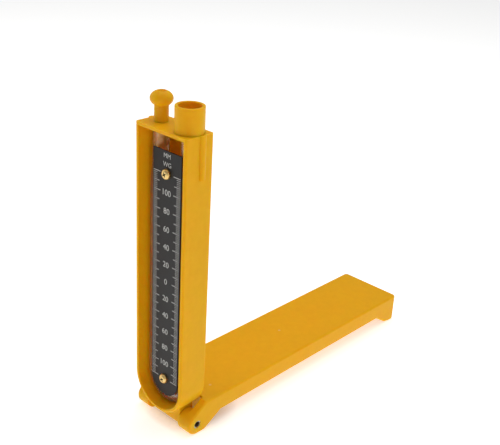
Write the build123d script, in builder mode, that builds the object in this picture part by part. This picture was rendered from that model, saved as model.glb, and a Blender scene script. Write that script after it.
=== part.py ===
"""Folding U-tube water gauge for testing drains and pipework.

A moulded tray holds a clear hose bent to a U behind a black scale plate.
A channel-shaped cover is pinned under the tray.  Swung back it is the foot
that the gauge stands on, and swung under and up the front it closes the gauge.

Millimetres, +Z up, the front of the gauge towards -Y, drawn standing open.
The origin is on the floor, under the middle of the whole length.
"""

import os
from math import acos, degrees, pi

from build123d import *

os.makedirs("parts", exist_ok=True)

# Housing: a tray, open at the front, square at the top and round at the bottom
HOUSING_WIDTH = 37.0
HOUSING_DEPTH = 17.9
ZERO_TO_TOP = 83.6
ZERO_TO_BEND = 60.0
SIDE_WALL = 2.1
TOP_WALL = 1.8
BACK_WALL = 2.2
FRONT_ROUNDING = 1.3
BACK_ROUNDING = 1.0
RIM_ROUNDING = 0.4

# Hinge: a knuckle under the tray between the two ears of the cover.  An ear is
# thickest low down, and its inner face steps outwards to clear the round tray
PIN_BELOW_ZERO = 81.8
PIN_SETBACK = 10.2
PIN_DIAMETER = 4.8
PIN_BORE = 3.6
PIN_SLOT = 0.8
PIN_RECESS = 0.4
RUNNING_CLEARANCE = 0.05
KNUCKLE_WIDTH = 24.4
KNUCKLE_RADIUS = 4.8
KNUCKLE_WEB = 12.0
EAR_RADIUS = 6.3
EAR_INNER = 12.6
FOOT_INNER = 15.5
SLOPE_INNER = 17.2
FOOT_SPREAD = 4.0
EAR_TOP_START = 6.4
EAR_SLOPE_END = 18.0
EAR_RIB_END = 12.0

# Cover, measured from the pin while it lies back as the foot
COVER_WIDTH = 43.5
COVER_WALL = 1.6
COVER_RISE = 12.1
COVER_REACH = 186.8
COVER_START = 8.0
SKIRT_RISE = 1.1
LIP_FLAT = 5.0
LIP_HEEL_RISE = 0.9
LIP_CORNER = 3.0
LIP_SLOPE_START = 166.4
COVER_ROUNDING = 1.3
COVER_CORNER = 2.6
CUT_MARGIN = 30.0

# Scale plate, seen through the open front
PLATE_WIDTH = 20.8
PLATE_THICKNESS = 0.6
PLATE_SETBACK = 4.8
ZERO_TO_PLATE_TOP = 71.8
SCREW_FROM_ZERO = 60.0
SCREW_DIAMETER = 3.0
SCREW_LENGTH = 7.0
SCREW_END_GAP = 0.5
SCREW_HOLE_GAP = 0.15
HEAD_DIAMETER = 5.6
HEAD_HEIGHT = 2.0
HEAD_ROUNDING = 1.5
RECESS_WIDTH = 2.6
RECESS_SLOT = 0.7
RECESS_DEPTH = 1.2
RECESS_TURN = 30
INSERT_DIAMETER = 4.2
INSERT_LENGTH = 5.5
INSERT_GROOVE = 0.4
BOSS_DIAMETER = 7.6

# Clear hose and the two fittings that it is pushed onto
HOSE_DIAMETER = 8.5
HOSE_BORE = 5.5
HOSE_SETBACK = 9.9
HOSE_END_GAP = 0.06
LIMB_TOP_X = 10.4
LIMB_X = 12.0
LIMB_CURVE = 110.0
TAIL_LENGTH = 11.0
TAIL_BORE = 3.2
BARBS = 3
BARB_LENGTH = 2.6
BARB_DEPTH = 0.4
PLUG_TAPER = 1.0
NECK_DIAMETER = 7.3
HEAD_WIDTH = 11.7
HEAD_CENTRE_RISE = 11.6
HEAD_HALF_HEIGHT = 4.2
MOUTH_DIAMETER = 5.0
MOUTH_LAND = 0.6
FILLER_DIAMETER = 14.8
FILLER_BORE = 11.6
FILLER_HEIGHT = 13.4
FILLER_FLOOR = 2.4
FILLER_X = 10.8
FILLER_SETBACK = 9.1
FIT_CLEARANCE = 0.03

# Snap beads on the sides of the tray, gripped by the closed cover
BEAD_SETBACK = 10.7
BEAD_RADIUS = 1.9
BEAD_PROUD = 1.5
BEAD_LENGTH = 22.5

# Places worked out from the sizes above
FRONT_Y = -(PIN_SETBACK + COVER_REACH) / 2
BACK_Y = FRONT_Y + HOUSING_DEPTH
PIN_Y = FRONT_Y + PIN_SETBACK
PIN_Z = EAR_RADIUS
ZERO_Z = PIN_Z + PIN_BELOW_ZERO
TOP_Z = ZERO_Z + ZERO_TO_TOP
BEND_Z = ZERO_Z - ZERO_TO_BEND
PLATE_Y = FRONT_Y + PLATE_SETBACK
HOSE_Y = FRONT_Y + HOSE_SETBACK
CEILING_Z = TOP_Z - TOP_WALL
SCREW_HEIGHTS = (ZERO_Z - SCREW_FROM_ZERO, ZERO_Z + SCREW_FROM_ZERO)


def facing_front(y):
    """A plane across the gauge at depth y: local X is X, local Y is Z, normal -Y."""
    return Plane.XZ.offset(-y)


def facing_side(x):
    """A plane along the gauge at width x, centred on the hinge pin, normal +X."""
    return Plane(origin=(x, PIN_Y, PIN_Z), x_dir=(0, 1, 0), z_dir=(1, 0, 0))


def round_bottomed(width, bottom_z, top_z):
    """A face with a flat top and a half-round bottom, for the tray and its plate."""
    half = width / 2
    with BuildSketch() as shape:
        with BuildLine():
            Polyline((-half, bottom_z), (-half, top_z), (half, top_z), (half, bottom_z))
            ThreePointArc((half, bottom_z), (0, bottom_z - half), (-half, bottom_z))
        make_face()
    return shape.sketch


# Housing
tray_face = round_bottomed(HOUSING_WIDTH, BEND_Z, TOP_Z)
pocket_face = round_bottomed(HOUSING_WIDTH - 2 * SIDE_WALL, BEND_Z, CEILING_Z)
with BuildPart() as housing:
    with BuildSketch(facing_front(BACK_Y)):
        add(tray_face)
    extrude(amount=HOUSING_DEPTH)
    outline = housing.edges().filter_by(GeomType.LINE).filter_by(Axis.Z)
    outline += housing.edges().filter_by(GeomType.CIRCLE)
    fillet([e for e in outline if e.center().Y < PIN_Y], FRONT_ROUNDING)
    outline = housing.faces().sort_by(Axis.Y)[-1].edges().sort_by(Axis.Z)[:-1]
    fillet(outline, BACK_ROUNDING)

    # Knuckle for the hinge pin, with a web up to the round bottom
    with BuildSketch(facing_side(-KNUCKLE_WIDTH / 2)):
        Circle(KNUCKLE_RADIUS)
        Rectangle(2 * KNUCKLE_RADIUS, KNUCKLE_WEB, align=(Align.CENTER, Align.MIN))
    extrude(amount=KNUCKLE_WIDTH)

    # Pocket, open to the front
    with BuildSketch(facing_front(FRONT_Y)):
        add(pocket_face)
    extrude(amount=-(HOUSING_DEPTH - BACK_WALL), mode=Mode.SUBTRACT)
    rim = housing.faces().filter_by(Axis.Y).sort_by(Axis.Y)[0]
    fillet(rim.inner_wires()[0].edges(), RIM_ROUNDING)

    # Bosses behind the scale plate, bored for the brass inserts
    with BuildSketch(facing_front(BACK_Y - BACK_WALL)):
        for screw_z in SCREW_HEIGHTS:
            with Locations((0, screw_z)):
                Circle(BOSS_DIAMETER / 2)
    extrude(amount=HOUSING_DEPTH - BACK_WALL - PLATE_SETBACK - PLATE_THICKNESS)
    with BuildSketch(facing_front(PLATE_Y + PLATE_THICKNESS)):
        for screw_z in SCREW_HEIGHTS:
            with Locations((0, screw_z)):
                Circle(INSERT_DIAMETER / 2 + FIT_CLEARANCE)
    extrude(amount=-(SCREW_LENGTH + SCREW_END_GAP), mode=Mode.SUBTRACT)

    # Snap beads down both sides from the top
    with BuildSketch(Plane.XY.offset(TOP_Z)):
        for side in (-1, 1):
            bead_x = side * (HOUSING_WIDTH / 2 + BEAD_PROUD - BEAD_RADIUS)
            with Locations((bead_x, FRONT_Y + BEAD_SETBACK)):
                Circle(BEAD_RADIUS)
        with Locations((0, FRONT_Y + BEAD_SETBACK)):
            Rectangle(HOUSING_WIDTH - SIDE_WALL, 2 * BEAD_RADIUS, mode=Mode.SUBTRACT)
    extrude(amount=-BEAD_LENGTH)

    # Holes for the hinge pin and for the tails of the two fittings
    with BuildSketch(facing_side(-KNUCKLE_WIDTH)):
        Circle(PIN_DIAMETER / 2 + RUNNING_CLEARANCE)
    extrude(amount=2 * KNUCKLE_WIDTH, mode=Mode.SUBTRACT)
    with BuildSketch(Plane.XY.offset(TOP_Z)):
        with Locations((-LIMB_TOP_X, HOSE_Y), (LIMB_TOP_X, HOSE_Y)):
            Circle(HOSE_BORE / 2 + FIT_CLEARANCE)
    extrude(amount=-TOP_WALL, mode=Mode.SUBTRACT)
housing.part.label = "housing"



def ear_outline(end):
    """Side view of an ear: a round on the pin, a flat foot, and slopes up to the top."""
    with BuildSketch() as outline:
        with Locations((0, 0), (FOOT_SPREAD, 0)):
            Circle(EAR_RADIUS)
        with Locations((EAR_TOP_START, COVER_RISE)):
            skirt_height = COVER_RISE - SKIRT_RISE
            Rectangle(end - EAR_TOP_START, skirt_height, align=(Align.MIN, Align.MAX))
        make_hull()
    return outline.sketch


# Cover, lying back as the foot
lip_foot = COVER_REACH - LIP_FLAT
inner_width = COVER_WIDTH - 2 * COVER_WALL
with BuildPart() as cover_stand:
    # Ears, run across the whole width
    with BuildSketch(facing_side(-COVER_WIDTH / 2)):
        add(ear_outline(EAR_SLOPE_END))
    extrude(amount=COVER_WIDTH)

    # Long channel, with a lip at its far end that reaches the floor
    with BuildSketch(facing_side(-COVER_WIDTH / 2)) as channel:
        with BuildLine():
            Polyline(
                (COVER_START, SKIRT_RISE),
                (LIP_SLOPE_START, SKIRT_RISE),
                (lip_foot - LIP_FLAT, LIP_HEEL_RISE - EAR_RADIUS),
                (lip_foot, -EAR_RADIUS),
                (COVER_REACH, -EAR_RADIUS),
                (COVER_REACH, COVER_RISE),
                (COVER_START, COVER_RISE),
                close=True,
            )
        make_face()
        skirt_end, heel = channel.vertices().sort_by(Axis.X)[2:4]
        fillet([skirt_end, heel], LIP_CORNER)
    extrude(amount=COVER_WIDTH)

    # Rounded outside: the far corners, then the outline of each side and the top ends
    far_face = cover_stand.faces().sort_by(Axis.Y)[-1]
    fillet(far_face.edges().filter_by(Axis.Z), COVER_CORNER)
    side_faces = cover_stand.faces().filter_by(Axis.X)
    fillet(side_faces.edges(), COVER_ROUNDING)

    # Hollow underneath, open between the ears and in front of the top
    well = COVER_REACH - COVER_WALL + CUT_MARGIN
    with BuildSketch(facing_side(-inner_width / 2)):
        with Locations((-CUT_MARGIN, COVER_RISE - COVER_WALL)):
            Rectangle(well, CUT_MARGIN, align=(Align.MIN, Align.MAX))
        with Locations((COVER_START, COVER_RISE - COVER_WALL)):
            Rectangle(CUT_MARGIN, CUT_MARGIN, align=(Align.MAX, Align.MIN))
    extrude(amount=inner_width, mode=Mode.SUBTRACT)

    # Inside of each ear, in steps outwards: round, with the flat foot, with the slope
    for side in (-1, 1):
        with BuildSketch(facing_side(side * EAR_INNER)):
            Circle(EAR_RADIUS)
        extrude(amount=side * (FOOT_INNER - EAR_INNER))
        with BuildSketch(facing_side(side * FOOT_INNER)):
            with Locations((0, 0), (FOOT_SPREAD, 0)):
                Circle(EAR_RADIUS)
            make_hull()
        extrude(amount=side * (SLOPE_INNER - FOOT_INNER))
        with BuildSketch(facing_side(side * SLOPE_INNER)):
            add(ear_outline(EAR_RIB_END))
        extrude(amount=side * (inner_width / 2 - SLOPE_INNER))
    with BuildSketch(facing_side(-COVER_WIDTH)):
        Circle(PIN_DIAMETER / 2)
    extrude(amount=2 * COVER_WIDTH, mode=Mode.SUBTRACT)
cover_stand.part.label = "cover_stand"

# Hinge pin: a slotted roll pin, tight in the ears and turning in the knuckle
pin_length = COVER_WIDTH - 2 * PIN_RECESS
with BuildPart() as hinge_pin:
    with BuildSketch(facing_side(-pin_length / 2)):
        Circle(PIN_DIAMETER / 2)
        Circle(PIN_BORE / 2, mode=Mode.SUBTRACT)
        with Locations((0, -PIN_DIAMETER / 2)):
            Rectangle(PIN_SLOT, 2 * (PIN_DIAMETER - PIN_BORE), mode=Mode.SUBTRACT)
    extrude(amount=pin_length)
hinge_pin.part.label = "hinge_pin"

# Clear hose: two limbs that spread to the tray's sides, joined by a round bend
limb_shift = LIMB_X - LIMB_TOP_X
limb_turn = degrees(acos(1 - limb_shift / (2 * LIMB_CURVE)))
straight_end = CEILING_Z - TAIL_LENGTH
with BuildPart() as u_tube:
    with BuildLine(facing_front(HOSE_Y)) as route:
        down = Line((-LIMB_TOP_X, CEILING_Z - HOSE_END_GAP), (-LIMB_TOP_X, straight_end))
        outward = JernArc(down @ 1, down % 1, LIMB_CURVE, -limb_turn)
        inward = JernArc(outward @ 1, outward % 1, LIMB_CURVE, limb_turn)
        limb = Line(inward @ 1, (-LIMB_X, BEND_Z))
        bend = JernArc(limb @ 1, limb % 1, LIMB_X, 180)
        up = Line(bend @ 1, (LIMB_X, (inward @ 1).Z))
        back_in = JernArc(up @ 1, up % 1, LIMB_CURVE, limb_turn)
        upright = JernArc(back_in @ 1, back_in % 1, LIMB_CURVE, -limb_turn)
        Line(upright @ 1, (LIMB_TOP_X, CEILING_Z - HOSE_END_GAP))
    with BuildSketch(Plane(origin=route.line @ 0, z_dir=route.line % 0)):
        Circle(HOSE_DIAMETER / 2)
        Circle(HOSE_BORE / 2, mode=Mode.SUBTRACT)
    sweep(path=route.line)
u_tube.part.label = "u_tube"


def barbed_tail(plane):
    """A hose tail below a fitting: the plug in the top wall, then three barbs."""
    plug = HOSE_BORE / 2
    crest = plug - FIT_CLEARANCE
    root = crest - BARB_DEPTH
    tip = -TOP_WALL - TAIL_LENGTH
    shoulder = -TOP_WALL - PLUG_TAPER
    with BuildPart() as tail:
        with BuildSketch(plane):
            with BuildLine():
                Polyline((TAIL_BORE / 2, 0), (plug, 0), (plug, -TOP_WALL), (root, shoulder))
                Line((root, shoulder), (root, tip + BARB_LENGTH * BARBS))
                for barb in range(BARBS):
                    top = tip + BARB_LENGTH * (BARBS - barb)
                    Polyline((root, top), (crest, top - BARB_DEPTH), (root, top - BARB_LENGTH))
                Polyline((root, tip), (TAIL_BORE / 2, tip), (TAIL_BORE / 2, 0))
            make_face()
        revolve(axis=Axis(plane.origin, plane.y_dir))
    return tail.part


# Ball-headed spigot that the test hose is pushed over
spigot_plane = Plane(origin=(-LIMB_TOP_X, HOSE_Y, TOP_Z), x_dir=(1, 0, 0), z_dir=(0, -1, 0))
spigot_tail = barbed_tail(spigot_plane)
mouth_height = HEAD_CENTRE_RISE + HEAD_HALF_HEIGHT
with BuildPart() as hose_spigot:
    with BuildSketch(spigot_plane):
        Rectangle(NECK_DIAMETER / 2, HEAD_CENTRE_RISE, align=(Align.MIN, Align.MIN))
        with Locations((0, HEAD_CENTRE_RISE)):
            Ellipse(HEAD_WIDTH / 2, HEAD_HALF_HEIGHT)
        Rectangle(HEAD_WIDTH, 2 * mouth_height, align=(Align.MAX, Align.MIN), mode=Mode.SUBTRACT)
        Rectangle(TAIL_BORE / 2, mouth_height, align=(Align.MIN, Align.MIN), mode=Mode.SUBTRACT)
        with BuildLine():
            Polyline(
                (0, mouth_height),
                (MOUTH_DIAMETER / 2, mouth_height),
                (MOUTH_DIAMETER / 2, mouth_height - MOUTH_LAND),
                (0, mouth_height - MOUTH_LAND - MOUTH_DIAMETER / 2),
                close=True,
            )
        make_face(mode=Mode.SUBTRACT)
    revolve(axis=Axis(spigot_plane.origin, (0, 0, 1)))
    add(spigot_tail)
hose_spigot.part.label = "hose_spigot"

# Wide open tube that water is poured into, standing over the other limb
filler_plane = Plane(origin=(LIMB_TOP_X, HOSE_Y, TOP_Z), x_dir=(1, 0, 0), z_dir=(0, -1, 0))
filler_tail = barbed_tail(filler_plane)
filler_centre = (FILLER_X, FRONT_Y + FILLER_SETBACK)
with BuildPart() as filler_tube:
    with BuildSketch(Plane.XY.offset(TOP_Z)):
        with Locations(filler_centre):
            Circle(FILLER_DIAMETER / 2)
    extrude(amount=FILLER_HEIGHT)
    with BuildSketch(Plane.XY.offset(TOP_Z + FILLER_HEIGHT)):
        with Locations(filler_centre):
            Circle(FILLER_BORE / 2)
    extrude(amount=FILLER_FLOOR - FILLER_HEIGHT, mode=Mode.SUBTRACT)
    rim_edges = filler_tube.faces().sort_by(Axis.Z)[-1].edges()
    fillet(rim_edges, RIM_ROUNDING)
    with BuildSketch(Plane.XY.offset(TOP_Z)):
        with Locations((LIMB_TOP_X, HOSE_Y)):
            Circle(TAIL_BORE / 2)
    extrude(amount=FILLER_FLOOR, mode=Mode.SUBTRACT)
    add(filler_tail)
filler_tube.part.label = "filler_tube"

# Scale plate
plate_face = round_bottomed(PLATE_WIDTH, BEND_Z, ZERO_Z + ZERO_TO_PLATE_TOP)
with BuildPart() as scale_plate:
    with BuildSketch(facing_front(PLATE_Y)):
        add(plate_face)
        for screw_z in SCREW_HEIGHTS:
            with Locations((0, screw_z)):
                Circle(SCREW_DIAMETER / 2 + SCREW_HOLE_GAP, mode=Mode.SUBTRACT)
    extrude(amount=-PLATE_THICKNESS)
scale_plate.part.label = "scale_plate"

# Brass screws that hold the plate, with domed cross-recessed heads
with BuildPart() as scale_screws:
    with BuildSketch(facing_front(PLATE_Y)):
        for screw_z in SCREW_HEIGHTS:
            with Locations((0, screw_z)):
                Circle(HEAD_DIAMETER / 2)
    extrude(amount=HEAD_HEIGHT)
    crowns = scale_screws.faces().filter_by(Axis.Y).sort_by(Axis.Y)[:2]
    fillet(crowns.edges(), HEAD_ROUNDING)
    with BuildSketch(facing_front(PLATE_Y - HEAD_HEIGHT)):
        for screw_z in SCREW_HEIGHTS:
            with Locations((0, screw_z)):
                Rectangle(RECESS_WIDTH, RECESS_SLOT, rotation=RECESS_TURN)
                Rectangle(RECESS_SLOT, RECESS_WIDTH, rotation=RECESS_TURN)
    extrude(amount=-RECESS_DEPTH, mode=Mode.SUBTRACT)
    with BuildSketch(facing_front(PLATE_Y)):
        for screw_z in SCREW_HEIGHTS:
            with Locations((0, screw_z)):
                Circle(SCREW_DIAMETER / 2)
    extrude(amount=-SCREW_LENGTH)
scale_screws.part.label = "scale_screws"

# Brass inserts in the bosses, each with a groove round its middle
with BuildPart() as screw_inserts:
    with BuildSketch(facing_front(PLATE_Y + PLATE_THICKNESS)):
        for screw_z in SCREW_HEIGHTS:
            with Locations((0, screw_z)):
                Circle(INSERT_DIAMETER / 2)
    extrude(amount=-INSERT_LENGTH)
    with BuildSketch(facing_front(PLATE_Y + PLATE_THICKNESS + INSERT_LENGTH / 2)):
        for screw_z in SCREW_HEIGHTS:
            with Locations((0, screw_z)):
                Circle(INSERT_DIAMETER)
                Circle(INSERT_DIAMETER / 2 - INSERT_GROOVE, mode=Mode.SUBTRACT)
    extrude(amount=INSERT_GROOVE, both=True, mode=Mode.SUBTRACT)
    with BuildSketch(facing_front(PLATE_Y)):
        for screw_z in SCREW_HEIGHTS:
            with Locations((0, screw_z)):
                Circle(SCREW_DIAMETER / 2 + FIT_CLEARANCE)
    extrude(amount=-HOUSING_DEPTH, mode=Mode.SUBTRACT)
screw_inserts.part.label = "screw_inserts"

# Write the files
pieces = (
    housing,
    cover_stand,
    hinge_pin,
    u_tube,
    hose_spigot,
    filler_tube,
    scale_plate,
    scale_screws,
    screw_inserts,
)
for piece in pieces:
    export_step(piece.part, f"parts/{piece.part.label}.step")

hose_length = sum(edge.length for edge in route.line.edges())
hose_section = pi * (HOSE_DIAMETER**2 - HOSE_BORE**2) / 4
print(f"hose length {hose_length:.1f} mm")
print(f"hose volume over section times length {u_tube.part.volume / hose_section / hose_length:.4f}")
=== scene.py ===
# %% [markdown]
# # A folding U-tube water gauge
#
# A plumber sets this gauge on the floor, pushes a rubber hose over its ball-headed
# spigot, pours water into the wide tube beside it, and reads the two water levels
# against the black plate.  The case is one yellow moulding, the cover another.
#
# The solid parts come ready-made from the CAD frame.  This script adds what the CAD
# leaves out: the printed scale, and every finish with its small marks.

import math

import bmesh
import bpy
from mathutils import Matrix, Vector


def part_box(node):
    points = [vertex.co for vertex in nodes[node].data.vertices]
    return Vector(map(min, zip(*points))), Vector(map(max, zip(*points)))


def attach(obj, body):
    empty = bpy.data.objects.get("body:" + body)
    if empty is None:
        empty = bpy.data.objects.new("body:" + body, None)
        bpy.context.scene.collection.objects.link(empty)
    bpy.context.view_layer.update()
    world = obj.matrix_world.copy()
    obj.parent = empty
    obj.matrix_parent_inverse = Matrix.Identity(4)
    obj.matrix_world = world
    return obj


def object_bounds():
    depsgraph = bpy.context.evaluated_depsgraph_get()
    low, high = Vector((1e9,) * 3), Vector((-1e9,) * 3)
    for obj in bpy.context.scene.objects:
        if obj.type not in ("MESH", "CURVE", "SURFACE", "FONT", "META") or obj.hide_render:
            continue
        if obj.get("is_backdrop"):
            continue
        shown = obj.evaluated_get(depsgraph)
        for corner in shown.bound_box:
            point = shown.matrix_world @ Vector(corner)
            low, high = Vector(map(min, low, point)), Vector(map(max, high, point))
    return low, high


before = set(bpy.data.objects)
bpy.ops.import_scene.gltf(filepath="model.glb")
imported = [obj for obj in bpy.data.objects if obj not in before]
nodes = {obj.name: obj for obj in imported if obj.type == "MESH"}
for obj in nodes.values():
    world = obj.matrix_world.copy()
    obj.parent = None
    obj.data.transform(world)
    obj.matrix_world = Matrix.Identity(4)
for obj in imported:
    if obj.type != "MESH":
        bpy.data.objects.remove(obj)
cad_low, cad_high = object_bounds()
MM = 0.001
print("overall size in mm", [round(side / MM, 1) for side in cad_high - cad_low])

# %% [markdown]
# ## The camera
#
# The gauge is looked at from its front right corner and from above, from less than
# half a metre away, so its upright edges draw together a little towards the floor.
# A camera that close needs its place as well as its angle.  The place is measured
# from the middle of the scale, which is also what the camera's height is about.

# %% Camera
CAMERA_AZIMUTH = math.radians(42.28)
CAMERA_ELEVATION = math.radians(24.41)
CAMERA_ROLL = math.radians(3.32)
CAMERA_FROM_ZERO = Vector((294.4, -261.33, 214.18)) * MM
CAMERA_LENS = 61.68

plate_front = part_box("scale_plate")[0].y
screws_low, screws_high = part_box("scale_screws")
zero = Vector((0, plate_front, (screws_low.z + screws_high.z) / 2))

camera = bpy.data.objects.new("camera", bpy.data.cameras.new("camera"))
bpy.context.scene.collection.objects.link(camera)
bpy.context.scene.camera = camera
towards_camera = Vector(
    (
        math.sin(CAMERA_AZIMUTH) * math.cos(CAMERA_ELEVATION),
        -math.cos(CAMERA_AZIMUTH) * math.cos(CAMERA_ELEVATION),
        math.sin(CAMERA_ELEVATION),
    )
)
turn = towards_camera.to_track_quat("Z", "Y").to_matrix() @ Matrix.Rotation(CAMERA_ROLL, 3, "Z")
camera.matrix_world = Matrix.Translation(zero + CAMERA_FROM_ZERO) @ turn.to_4x4()
camera.data.lens = CAMERA_LENS
camera.data.clip_start = 10 * MM
print("camera is", round(CAMERA_FROM_ZERO.length / MM), "mm from the scale's zero")

# %% [markdown]
# ## Light and floor
#
# A small glossy object is best lit by large pale surfaces, because what it reflects
# is what makes its edges read.  It stands on a light table, a white sheet lit from
# below, which takes its shadow away.  A wide panel overhead brightens the upward
# faces and two tall panels light it from the right and the left.  The room behind
# the camera stays dim, so a surface that faces the camera is a little deeper in
# colour than the ones beside it, and the round parts look round.

# %% Light and floor
FLOOR_SIZE = 6.0
FLOOR_COLOUR = "FBFBFA"
TABLE_GLOW = 0.5
ROOM_LIGHT = 0.3
OVERHEAD_WATTS = 6.6
LEFT_WATTS = 1.9
RIGHT_WATTS = 1.2
OVERHEAD_PLACE = (0.0, 0.2, 1.1)
LEFT_PLACE = (-0.95, -0.4, 0.45)
RIGHT_PLACE = (0.95, -0.45, 0.45)
WIDE_PANEL = (1.2, 1.2)
LEFT_PANEL = (0.6, 0.9)
RIGHT_PANEL = (0.5, 0.9)
LIGHTS_AIM = (0, 0, 0.08)


def linear(code):
    """An sRGB hex colour as linear RGBA, as shader sockets take it."""
    channels = [int(code[i : i + 2], 16) / 255 for i in (0, 2, 4)]
    return [
        c / 12.92 if c <= 0.04045 else ((c + 0.055) / 1.055) ** 2.4 for c in channels
    ] + [1.0]


def softbox(name, place, aim, size, power):
    """A rectangular light panel at place, facing aim, with its power in watts."""
    lamp = bpy.data.lights.new(name, "AREA")
    lamp.shape = "RECTANGLE"
    lamp.size, lamp.size_y = size
    lamp.energy = power
    panel = bpy.data.objects.new(name, lamp)
    bpy.context.scene.collection.objects.link(panel)
    facing = (Vector(place) - Vector(aim)).to_track_quat("Z", "Y")
    panel.matrix_world = Matrix.Translation(place) @ facing.to_matrix().to_4x4()
    return panel


room = bpy.data.worlds.new("dim_white_room")
bpy.context.scene.world = room
room.use_nodes = True
room.node_tree.nodes["Background"].inputs["Color"].default_value = linear("FFFFFF")
room.node_tree.nodes["Background"].inputs["Strength"].default_value = ROOM_LIGHT
softbox("overhead_panel", OVERHEAD_PLACE, LIGHTS_AIM, WIDE_PANEL, OVERHEAD_WATTS)
softbox("left_panel", LEFT_PLACE, LIGHTS_AIM, LEFT_PANEL, LEFT_WATTS)
softbox("right_panel", RIGHT_PLACE, LIGHTS_AIM, RIGHT_PANEL, RIGHT_WATTS)
bpy.context.scene.view_settings.view_transform = "Standard"

floor_mesh = bpy.data.meshes.new("floor")
reach = FLOOR_SIZE / 2
floor_mesh.from_pydata(
    [(-reach, -reach, 0), (reach, -reach, 0), (reach, reach, 0), (-reach, reach, 0)],
    [],
    [(0, 1, 2, 3)],
)
floor = bpy.data.objects.new("floor", floor_mesh)
bpy.context.scene.collection.objects.link(floor)
floor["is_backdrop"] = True

# %% [markdown]
# ## A helper for materials
#
# Every finish below starts from a Principled shader and a few texture nodes.  One
# function adds a node, sets its settings and fills or links its inputs.
#
# The light table is the first to use them.  Its glow fades out in a soft round spot just behind
# the hinge, a painted shadow, so that it does not shine up between the case and the cover's ears.

# %% Material helpers
def node(tree, kind, settings=None, **inputs):
    """Adds a node.  Inputs are values or output sockets, named with _ for a space,
    or by their number, as _0, where several share a name."""
    made = tree.nodes.new(kind)
    for name, value in (settings or {}).items():
        setattr(made, name, value)
    for name, value in inputs.items():
        is_number = name[1:].isdigit()
        socket = made.inputs[int(name[1:]) if is_number else name.replace("_", " ")]
        if isinstance(value, bpy.types.NodeSocket):
            tree.links.new(value, socket)
        else:
            socket.default_value = value
    return made


def maths(tree, operation, *values):
    """A math node's result, from values or sockets."""
    inputs = {f"_{i}": value for i, value in enumerate(values)}
    return node(tree, "ShaderNodeMath", {"operation": operation}, **inputs).outputs[0]


def finish(name):
    """A new material with its tree, its Principled node and its Object coordinates."""
    material = bpy.data.materials.new(name)
    material.use_nodes = True
    tree = material.node_tree
    coordinates = tree.nodes.new("ShaderNodeTexCoord").outputs["Object"]
    return material, tree, tree.nodes["Principled BSDF"], coordinates


print("helpers ready: node, maths, finish")

# %% Light table
# Painted shadow: a soft round spot behind the hinge where the table's glow is taken away.
SHADOW_SPOT_BEHIND_PIN = 16 * MM
SHADOW_SPOT_RADIUS = 10 * MM
SHADOW_SPOT_FADE = 27 * MM

pin_low, pin_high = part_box("hinge_pin")
pin_middle = (pin_low.y + pin_high.y) / 2
shadow_spot_centre = Vector((0, pin_middle + SHADOW_SPOT_BEHIND_PIN, 0))
lit_sheet, tree, shader, place = finish("opal_acrylic_lit_from_below")
away = node(tree, "ShaderNodeVectorMath", {"operation": "DISTANCE"}, _0=place, _1=shadow_spot_centre)
glow = node(
    tree,
    "ShaderNodeMapRange",
    Value=away.outputs["Value"],
    From_Min=SHADOW_SPOT_RADIUS,
    From_Max=SHADOW_SPOT_FADE,
    To_Min=0.0,
    To_Max=TABLE_GLOW,
)
tree.links.new(glow.outputs["Result"], shader.inputs["Emission Strength"])
shader.inputs["Base Color"].default_value = linear(FLOOR_COLOUR)
shader.inputs["Roughness"].default_value = 0.9
shader.inputs["Emission Color"].default_value = linear("FFFFFF")
floor_mesh.materials.append(lit_sheet)

# %% [markdown]
# ## Yellow moulded ABS
#
# The case and the cover are injection-moulded in one colour.  The mould was finely
# spark-eroded, so the surface has a soft sheen, not a mirror.  The real grain is
# about 0.1 mm and would not show, so it is drawn at 0.35 mm, over a slow wave of
# 12 mm from the plastic sinking as it cooled.  The colour runs through the plastic,
# and light that enters it comes out more orange, which is why the corners inside
# the tray look deeper than its outside.
#
# An image could hold the grain, but it would need unwrapping and would be one size
# here and another there.  Noise on Object coordinates is the same on every piece.
#
# The melt entered the cover's mould through a gate in the middle of its flat top.
# Where that broke off, the plastic is stretched and pale, in a spot about 2 mm
# across.  A knock near the hinge has left another of the same size.

# %% Moulded plastic
GRAIN = 0.35 * MM
SINK_WAVE = 12 * MM
SMEAR = 4 * MM
GATE_FROM_PIN = (-1.3 * MM, 91.6 * MM)
KNOCK_FROM_PIN = (11.6 * MM, 18.8 * MM)
PALE_CORE = 0.4 * MM
PALE_EDGE = 1.1 * MM
PALE_SHARE = 0.6

cover_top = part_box("cover_stand")[1].z
moulded_abs, tree, shader, place = finish("spark_textured_abs")
grain = node(tree, "ShaderNodeTexNoise", Vector=place, Scale=1 / GRAIN, Detail=2.0)
wave = node(tree, "ShaderNodeTexNoise", Vector=place, Scale=1 / SINK_WAVE, Detail=1.0)
smear = node(tree, "ShaderNodeTexNoise", Vector=place, Scale=1 / SMEAR, Detail=4.0, Roughness=0.65)
tint = node(tree, "ShaderNodeValToRGB", Fac=smear.outputs["Fac"])
tint.color_ramp.elements[0].position = 0.3
tint.color_ramp.elements[0].color = linear("E8AE0F")
tint.color_ramp.elements[1].position = 0.7
tint.color_ramp.elements[1].color = linear("EDB415")
gloss = node(tree, "ShaderNodeMapRange", Value=smear.outputs["Fac"], To_Min=0.36, To_Max=0.46)
waved = node(tree, "ShaderNodeBump", Height=wave.outputs["Fac"], Strength=0.12, Distance=0.6 * MM)
grained = node(
    tree,
    "ShaderNodeBump",
    Height=grain.outputs["Fac"],
    Normal=waved.outputs["Normal"],
    Strength=0.25,
    Distance=0.03 * MM,
)
colour = tint.outputs["Color"]
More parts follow.
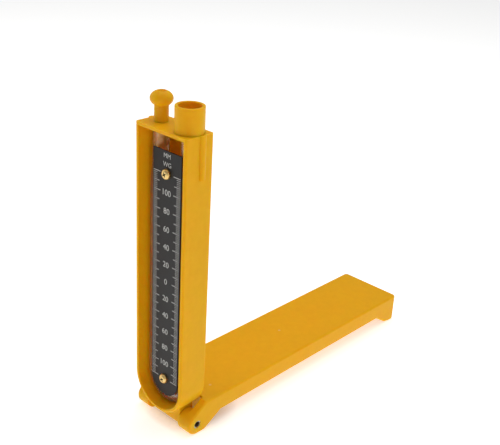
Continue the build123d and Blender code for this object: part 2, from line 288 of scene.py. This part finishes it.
for aside, behind_pin in (GATE_FROM_PIN, KNOCK_FROM_PIN):
    spot = Vector((aside, pin_middle + behind_pin, cover_top))
    off_spot = node(tree, "ShaderNodeVectorMath", {"operation": "DISTANCE"}, _0=place, _1=spot)
    pale = node(
        tree,
        "ShaderNodeMapRange",
        Value=off_spot.outputs["Value"],
        From_Min=PALE_CORE,
        From_Max=PALE_EDGE,
        To_Min=PALE_SHARE,
        To_Max=0.0,
    )
    stretched = node(
        tree,
        "ShaderNodeMix",
        {"data_type": "RGBA"},
        _0=pale.outputs["Result"],
        _6=colour,
        _7=linear("F2CE8E"),
    )
    colour = stretched.outputs[2]
tree.links.new(colour, shader.inputs["Base Color"])
tree.links.new(gloss.outputs["Result"], shader.inputs["Roughness"])
tree.links.new(grained.outputs["Normal"], shader.inputs["Normal"])
shader.inputs["IOR"].default_value = 1.5
shader.inputs["Specular IOR Level"].default_value = 0.1
shader.inputs["Subsurface Weight"].default_value = 1.0
shader.inputs["Subsurface Radius"].default_value = (1.0, 0.5, 0.12)
shader.inputs["Subsurface Scale"].default_value = 2.3 * MM
print("plastic grain", GRAIN / MM, "mm")

# %% [markdown]
# ## Clear PVC hose
#
# Clear hose is plasticised PVC.  Extruding leaves it smooth with faint long waves,
# so it takes sharp highlights down its sides, and the yellow case shows through it.
#
# Plain glass would bend all the light, twice in each wall, and such a narrow hose
# would turn out dark.  Here half of the light goes straight through, by the alpha,
# and the shader bends most of the rest.

# %% Clear hose
HOSE_WAVE = 18 * MM

clear_pvc, tree, shader, place = finish("extruded_clear_pvc")
waves = node(tree, "ShaderNodeTexNoise", Vector=place, Scale=1 / HOSE_WAVE, Detail=1.0)
haze = node(tree, "ShaderNodeMapRange", Value=waves.outputs["Fac"], To_Min=0.04, To_Max=0.1)
rippled = node(
    tree, "ShaderNodeBump", Height=waves.outputs["Fac"], Strength=0.2, Distance=0.4 * MM
)
tree.links.new(haze.outputs["Result"], shader.inputs["Roughness"])
tree.links.new(rippled.outputs["Normal"], shader.inputs["Normal"])
shader.inputs["Base Color"].default_value = linear("F6D8B8")
shader.inputs["Transmission Weight"].default_value = 0.85
shader.inputs["IOR"].default_value = 1.53
shader.inputs["Alpha"].default_value = 0.5

# %% [markdown]
# ## Black scale plate and white ink
#
# The plate is thin aluminium, anodised black and then screen-printed.  Anodising
# leaves a satin black.  Its real tooth is too fine to see, so it is drawn at 0.25 mm,
# the finest that still breaks up a reflection here, with a slow mottle of 9 mm where
# fingers have touched it.  The ink is matt and dense, a little thinner in spots.  The
# screen's mesh is too fine to see, so the spots are drawn at 0.8 mm.
#
# The ink is a material for thin pieces of its own, made further down, and not a
# picture on the plate, so that the print keeps sharp edges from close by.

# %% Plate and ink
TOOTH = 0.25 * MM
FINGER_MOTTLE = 9 * MM
INK_SPOTS = 0.8 * MM

black_anodised, tree, shader, place = finish("black_anodised_aluminium")
tooth = node(tree, "ShaderNodeTexNoise", Vector=place, Scale=1 / TOOTH, Detail=2.0)
mottle = node(tree, "ShaderNodeTexNoise", Vector=place, Scale=1 / FINGER_MOTTLE, Detail=3.0)
dull = node(tree, "ShaderNodeMapRange", Value=mottle.outputs["Fac"], To_Min=0.42, To_Max=0.56)
toothed = node(
    tree, "ShaderNodeBump", Height=tooth.outputs["Fac"], Strength=0.2, Distance=0.01 * MM
)
tree.links.new(dull.outputs["Result"], shader.inputs["Roughness"])
tree.links.new(toothed.outputs["Normal"], shader.inputs["Normal"])
shader.inputs["Base Color"].default_value = linear("171617")
shader.inputs["Specular IOR Level"].default_value = 0.35

white_ink, tree, shader, place = finish("screen_printed_white_ink")
cover_up = node(tree, "ShaderNodeTexNoise", Vector=place, Scale=1 / INK_SPOTS, Detail=3.0)
density = node(tree, "ShaderNodeValToRGB", Fac=cover_up.outputs["Fac"])
density.color_ramp.elements[0].position = 0.25
density.color_ramp.elements[0].color = linear("B4B4B2")
density.color_ramp.elements[1].position = 0.6
density.color_ramp.elements[1].color = linear("CECECA")
tree.links.new(density.outputs["Color"], shader.inputs["Base Color"])
shader.inputs["Roughness"].default_value = 0.7

# %% [markdown]
# ## Brass and spring steel
#
# The screw heads are turned brass, left bare: bright, slightly uneven in colour where hands have
# dulled them, with fine scratches across.  The bottom of the cross recess is painted almost black
# from a third of a millimetre down, as painted shade.  The roll pin is rolled from spring steel
# strip and lightly oiled, with its rolling lines along its length.
#
# The recess could be a dark piece of its own.  Here the brass finds it by its depth
# and its distance from the screw's middle, so the solid part needs no second mesh.

# %% Bare brass
SCREW_SPACING = (screws_high.z - screws_low.z) - (screws_high.x - screws_low.x)
RECESS_RADIUS = 1.35 * MM
RECESS_FROM = 0.1 * MM
RECESS_TO = 0.35 * MM
HAND_MARKS = 1.4 * MM
SCRATCH = 1.5 * MM
SCRATCH_THINNESS = 14.0

bare_brass, tree, shader, place = finish("turned_bare_brass")
dulling = node(tree, "ShaderNodeTexNoise", Vector=place, Scale=1 / HAND_MARKS, Detail=4.0)
brass_tint = node(tree, "ShaderNodeValToRGB", Fac=dulling.outputs["Fac"])
brass_tint.color_ramp.elements[0].color = linear("E2B868")
brass_tint.color_ramp.elements[1].color = linear("F3D99A")
across = node(tree, "ShaderNodeSeparateXYZ", Vector=place)
# Painted shade: the bottom of the cross recess is darkened almost black, found by its depth.
recess = node(
    tree,
    "ShaderNodeMapRange",
    Value=across.outputs["Y"],
    From_Min=screws_low.y + RECESS_FROM,
    From_Max=screws_low.y + RECESS_TO,
)
from_zero = maths(tree, "ABSOLUTE", maths(tree, "SUBTRACT", across.outputs["Z"], zero.z))
from_screw = maths(tree, "SUBTRACT", from_zero, SCREW_SPACING / 2)
aside = maths(tree, "POWER", across.outputs["X"], 2.0)
off_axis = maths(tree, "SQRT", maths(tree, "MULTIPLY_ADD", from_screw, from_screw, aside))
in_recess = maths(tree, "LESS_THAN", off_axis, RECESS_RADIUS)
recess_painted_shade = node(
    tree,
    "ShaderNodeMix",
    {"data_type": "RGBA"},
    _0=maths(tree, "MULTIPLY", recess.outputs["Result"], in_recess),
    _6=brass_tint.outputs["Color"],
    _7=linear("2E2010"),
)
brass_polish = node(
    tree, "ShaderNodeMapRange", Value=dulling.outputs["Fac"], To_Min=0.2, To_Max=0.38
)
squeezed = node(tree, "ShaderNodeMapping", Vector=place, Scale=(1.0, 1.0, SCRATCH_THINNESS))
scratches = node(
    tree, "ShaderNodeTexNoise", Vector=squeezed.outputs["Vector"], Scale=1 / SCRATCH, Detail=2.0
)
scratched = node(
    tree, "ShaderNodeBump", Height=scratches.outputs["Fac"], Strength=0.15, Distance=0.02 * MM
)
tree.links.new(recess_painted_shade.outputs[2], shader.inputs["Base Color"])
tree.links.new(brass_polish.outputs["Result"], shader.inputs["Roughness"])
tree.links.new(scratched.outputs["Normal"], shader.inputs["Normal"])
shader.inputs["Metallic"].default_value = 1.0

print("scratches", round(SCRATCH / SCRATCH_THINNESS / MM, 2), "mm across")

# %% Spring steel
ROLL_LINE = 0.3 * MM
ROLL_STRETCH = 0.05

spring_steel, tree, shader, place = finish("rolled_spring_steel")
drawn_out = node(tree, "ShaderNodeMapping", Vector=place, Scale=(ROLL_STRETCH, 1.0, 1.0))
lines = node(
    tree, "ShaderNodeTexNoise", Vector=drawn_out.outputs["Vector"], Scale=1 / ROLL_LINE, Detail=3.0
)
steel_polish = node(
    tree, "ShaderNodeMapRange", Value=lines.outputs["Fac"], To_Min=0.25, To_Max=0.45
)
lined = node(
    tree, "ShaderNodeBump", Height=lines.outputs["Fac"], Strength=0.15, Distance=0.02 * MM
)
tree.links.new(steel_polish.outputs["Result"], shader.inputs["Roughness"])
tree.links.new(lined.outputs["Normal"], shader.inputs["Normal"])
shader.inputs["Base Color"].default_value = linear("B9B8B4")
shader.inputs["Metallic"].default_value = 1.0

# %% [markdown]
# ## Finishes on the solid parts
#
# Each solid keeps its CAD shape and takes one finish.  The two fittings are moulded
# in the same plastic as the case, and the threaded inserts are the screws' brass.
# A CAD mesh already has its right faces the right way round, so only its material
# is changed.

# %% Give each CAD part its finish
FINISHES = {
    "housing": moulded_abs,
    "cover_stand": moulded_abs,
    "hose_spigot": moulded_abs,
    "filler_tube": moulded_abs,
    "u_tube": clear_pvc,
    "scale_plate": black_anodised,
    "scale_screws": bare_brass,
    "screw_inserts": bare_brass,
    "hinge_pin": spring_steel,
}
for part, material in FINISHES.items():
    nodes[part].data.materials.clear()
    nodes[part].data.materials.append(material)
print("finishes", {part: material.name for part, material in FINISHES.items()})

# %% [markdown]
# ## The printed scale
#
# The scale reads from zero in the middle to 120 both ways.  The water level moves
# half as far as the pressure, so a division of 2 is drawn 1 mm apart, and the long
# marks of 20 are 10 mm apart.  Each side of the plate has the same comb of marks.
#
# A comb follows a rule, so Geometry Nodes draw it: a line of points, a thin bar on
# each, and the point's own number choosing how long the bar is.  Every fifth mark is
# middling and every tenth is long, and both are heavier than the short ones, so the
# eye can count them.  The left comb is the right one turned half round.

# %% Comb of marks as a node group
INK = 0.03 * MM
comb = bpy.data.node_groups.new("scale_comb", "GeometryNodeTree")
comb.interface.new_socket("Geometry", in_out="OUTPUT", socket_type="NodeSocketGeometry")
for name, kind in (
    ("Count", "NodeSocketInt"),
    ("Spacing", "NodeSocketFloat"),
    ("Width", "NodeSocketFloat"),
    ("Outer", "NodeSocketFloat"),
    ("Short", "NodeSocketFloat"),
    ("Middle", "NodeSocketFloat"),
    ("Long", "NodeSocketFloat"),
    ("Heavy", "NodeSocketFloat"),
    ("Relief", "NodeSocketFloat"),
    ("Ink", "NodeSocketMaterial"),
):
    comb.interface.new_socket(name, in_out="INPUT", socket_type=kind)

given = comb.nodes.new("NodeGroupInput").outputs
half_count = maths(comb, "MULTIPLY_ADD", given["Count"], -0.5, 0.5)
lowest = maths(comb, "MULTIPLY", half_count, given["Spacing"])
start = node(comb, "ShaderNodeCombineXYZ", X=given["Outer"], Z=lowest)
step = node(comb, "ShaderNodeCombineXYZ", Z=given["Spacing"])
line = node(
    comb,
    "GeometryNodeMeshLine",
    Count=given["Count"],
    Start_Location=start.outputs[0],
    Offset=step.outputs[0],
)
thin = node(comb, "ShaderNodeCombineXYZ", X=1.0, Y=given["Relief"], Z=given["Width"])
bar = node(comb, "GeometryNodeMeshCube", Size=thin.outputs[0])
inward = node(comb, "GeometryNodeTransform", Geometry=bar.outputs[0], Translation=(-0.5, 0, 0))
number = comb.nodes.new("GeometryNodeInputIndex").outputs[0]
is_fifth = maths(comb, "LESS_THAN", maths(comb, "MODULO", number, 5.0), 0.5)
is_tenth = maths(comb, "LESS_THAN", maths(comb, "MODULO", number, 10.0), 0.5)
to_middle = maths(comb, "SUBTRACT", given["Middle"], given["Short"])
to_long = maths(comb, "SUBTRACT", given["Long"], given["Middle"])
fifth_length = maths(comb, "MULTIPLY_ADD", is_fifth, to_middle, given["Short"])
length = maths(comb, "MULTIPLY_ADD", is_tenth, to_long, fifth_length)
heavy_extra = maths(comb, "SUBTRACT", given["Heavy"], 1.0)
weight = maths(comb, "MULTIPLY_ADD", is_fifth, heavy_extra, 1.0)
stretch = node(comb, "ShaderNodeCombineXYZ", X=length, Y=1.0, Z=weight)
bars = node(
    comb,
    "GeometryNodeInstanceOnPoints",
    Points=line.outputs[0],
    Instance=inward.outputs[0],
    Scale=stretch.outputs[0],
)
real = node(comb, "GeometryNodeRealizeInstances", Geometry=bars.outputs[0])
inked = node(comb, "GeometryNodeSetMaterial", Geometry=real.outputs[0], Material=given["Ink"])
comb.links.new(inked.outputs[0], comb.nodes.new("NodeGroupOutput").inputs[0])
print("comb group has", len(comb.nodes), "nodes")


# %% From nodes to a plain mesh
def grow(name, group, **inputs):
    """A plain mesh object made by a node group, with its faces outward."""
    seed = bpy.data.objects.new(name + "_seed", bpy.data.meshes.new(name + "_seed"))
    bpy.context.scene.collection.objects.link(seed)
    modifier = seed.modifiers.new("nodes", "NODES")
    modifier.node_group = group
    for item in group.interface.items_tree:
        if item.in_out == "INPUT":
            modifier[item.identifier] = inputs[item.name]
    evaluated = seed.evaluated_get(bpy.context.evaluated_depsgraph_get())
    mesh = bpy.data.meshes.new_from_object(evaluated)
    bpy.data.objects.remove(seed)
    grown = bpy.data.objects.new(name, mesh)
    bpy.context.scene.collection.objects.link(grown)
    return grown


def settle(thing, matrix):
    """Moves a mesh's own points, so that the object stays unturned at the origin."""
    thing.data.transform(matrix)
    thing.data.update()


# %% Both combs
MARK_SPACING = 1.0 * MM
MARK_COUNT = 121
MARK_WIDTH = 0.22 * MM
HEAVY_MARK = 1.6
MARK_OUTER = 9.9 * MM
SHORT_MARK = 2.75 * MM
MIDDLE_MARK = 4.4 * MM
LONG_MARK = 5.05 * MM

right_comb = grow(
    "scale_marks_right",
    comb,
    Count=MARK_COUNT,
    Spacing=MARK_SPACING,
    Width=MARK_WIDTH,
    Outer=MARK_OUTER,
    Short=SHORT_MARK,
    Middle=MIDDLE_MARK,
    Long=LONG_MARK,
    Heavy=HEAVY_MARK,
    Relief=INK,
    Ink=white_ink,
)
left_comb = right_comb.copy()
left_comb.name = "scale_marks_left"
left_comb.data = right_comb.data.copy()
bpy.context.scene.collection.objects.link(left_comb)
on_plate = Matrix.Translation(zero + Vector((0, -INK / 2, 0)))
settle(right_comb, on_plate)
settle(left_comb, on_plate @ Matrix.Rotation(math.pi, 4, "Z"))
print("marks on each side", MARK_COUNT, "corners", len(right_comb.data.vertices))

# %% [markdown]
# ## Numerals and unit letters
#
# A number stands at every long mark but the outermost, the same on both sides of
# zero, since one limb falls as the other rises.  The unit of a water gauge,
# millimetres of water, is set in two short lines above the top screw.
#
# Blender's text is a curve.  Giving it a little depth and turning it into a mesh
# leaves its front, back and sides as loose sheets, so their edges are welded to make
# each figure one closed solid, as thin as the ink.

# %% Figures
FIGURE_HEIGHT = 3.35 * MM
FIGURE_STEP = 20
FIGURE_LAST = 100
CAPITAL_SHARE = 0.73
CURVE_STEPS = 4
WELD = INK / 100
open_edges = []


def printed(name, text, height, rise):
    """Text as a thin closed mesh, centred on the plate at a height above zero."""
    curve = bpy.data.curves.new(name, "FONT")
    curve.body = text
    curve.size = height / CAPITAL_SHARE
    curve.align_x = "CENTER"
    curve.align_y = "CENTER"
    curve.extrude = INK / 2
    curve.resolution_u = CURVE_STEPS
    text_object = bpy.data.objects.new(name + "_text", curve)
    bpy.context.scene.collection.objects.link(text_object)
    evaluated = text_object.evaluated_get(bpy.context.evaluated_depsgraph_get())
    mesh = bpy.data.meshes.new_from_object(evaluated)
    bpy.data.objects.remove(text_object)
    welded = bmesh.new()
    welded.from_mesh(mesh)
    bmesh.ops.remove_doubles(welded, verts=welded.verts, dist=WELD)
    bmesh.ops.recalc_face_normals(welded, faces=welded.faces)
    open_edges.append(sum(not edge.is_manifold for edge in welded.edges))
    welded.to_mesh(mesh)
    welded.free()
    made = bpy.data.objects.new(name, mesh)
    bpy.context.scene.collection.objects.link(made)
    middle_of_text = sum((Vector(corner) for corner in made.bound_box), Vector()) / 8
    upright = Matrix.Rotation(math.pi / 2, 4, "X")
    on_its_mark = Matrix.Translation(zero + Vector((0, -INK / 2, rise)))
    settle(made, on_its_mark @ upright @ Matrix.Translation(-middle_of_text))
    mesh.materials.clear()
    mesh.materials.append(white_ink)
    return made


# %% Place the figures
UNIT_HEIGHT = 2.5 * MM
UNIT_RISE = 69.4 * MM
UNIT_LINE = 4.5 * MM

figures = []
for value in range(-FIGURE_LAST, FIGURE_LAST + 1, FIGURE_STEP):
    side = "below" if value < 0 else "above"
    figures.append(
        printed(f"figure_{abs(value)}_{side}", str(abs(value)), FIGURE_HEIGHT, value / 2 * MM)
    )
units = [
    printed("unit_first_line", "MM", UNIT_HEIGHT, UNIT_RISE),
    printed("unit_second_line", "WG", UNIT_HEIGHT, UNIT_RISE - UNIT_LINE),
]
widest = max(figure.dimensions.x for figure in figures)
print("figures", len(figures), "widest", round(widest / MM, 2), "mm, open edges", open_edges)

# %% [markdown]
# ## Tie the print to the gauge
#
# The print rides with the gauge's body, so it stays on the plate when the cover is folded.

# %% The print turns with the gauge
for mark in [right_comb, left_comb, *figures, *units]:
    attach(mark, "gauge")
print("marks on the gauge", 2 + len(figures) + len(units))

# %% Size before and after
seen_low, seen_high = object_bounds()
apart = max((seen_high - cad_high).length, (seen_low - cad_low).length)
print("CAD and visual boxes agree within", apart / MM, "mm")
